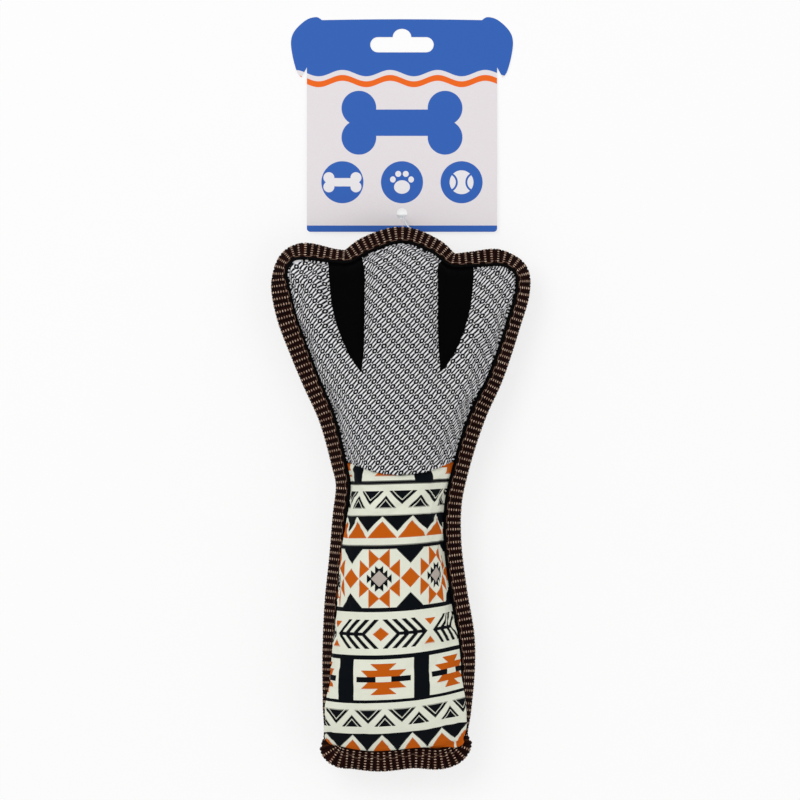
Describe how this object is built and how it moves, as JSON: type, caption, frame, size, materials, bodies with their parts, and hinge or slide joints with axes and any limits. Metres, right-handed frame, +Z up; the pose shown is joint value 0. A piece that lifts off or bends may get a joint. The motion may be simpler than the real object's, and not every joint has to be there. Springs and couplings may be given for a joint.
{
  "type": "stuffed dog toy with hang tag",
  "caption": "Stuffed paw-shaped fabric dog toy with mesh foot, printed leg, bound seam and squeaker, with its card hang tag on a nylon pin.",
  "frame": {"origin": "middle of the toy's length, on the flat where its back rests on a surface", "axes": "+Z up through the toy's front, +Y from the leg to the toes and the tag, +X to the right seen from the front"},
  "size_m": [0.131, 0.3788, 0.0475],
  "materials": {
    "mesh_fabric": "matte",
    "printed_fabric": "matte",
    "black_fabric": "matte",
    "lining_fabric": "matte",
    "fibre_filling": "matte",
    "webbing": "matte",
    "bulb_plastic": "satin",
    "reed_plastic": "satin",
    "tag_card": "satin",
    "nylon": "satin"
  },
  "bodies": {
    "toy": {"front_foot_mesh": "mesh_fabric", "front_toe_gap_left": "black_fabric", "front_toe_gap_right": "black_fabric", "front_leg_print": "printed_fabric", "front_lining": "lining_fabric", "back_foot_mesh": "mesh_fabric", "back_toe_gap_left": "black_fabric", "back_toe_gap_right": "black_fabric", "back_leg_print": "printed_fabric", "back_lining": "lining_fabric", "foot_filling": "fibre_filling", "leg_filling": "fibre_filling", "squeaker_bulb": "bulb_plastic", "squeaker_plug": "reed_plastic", "squeaker_reed": "reed_plastic", "edge_binding": "webbing", "bottom_binding": "webbing", "tag_pin_cross_bar": "nylon"},
    "tag_pin": {"tag_pin_filament": "nylon"},
    "tag_card": {"tag_card": "tag_card"}
  },
  "joints": [
    {"name": "pin_swing", "type": "hinge", "parent": "toy", "child": "tag_pin", "pos_m": [0.00436, 0.13622, 0.01816], "axis": [1, 0, 0], "range_deg": [-20, 90]},
    {"name": "tag_swing", "type": "hinge", "parent": "tag_pin", "child": "tag_card", "pos_m": [0.001, 0.1417, 0.0025], "axis": [1, 0, 0], "range_deg": [-25, 50]}
  ]
}
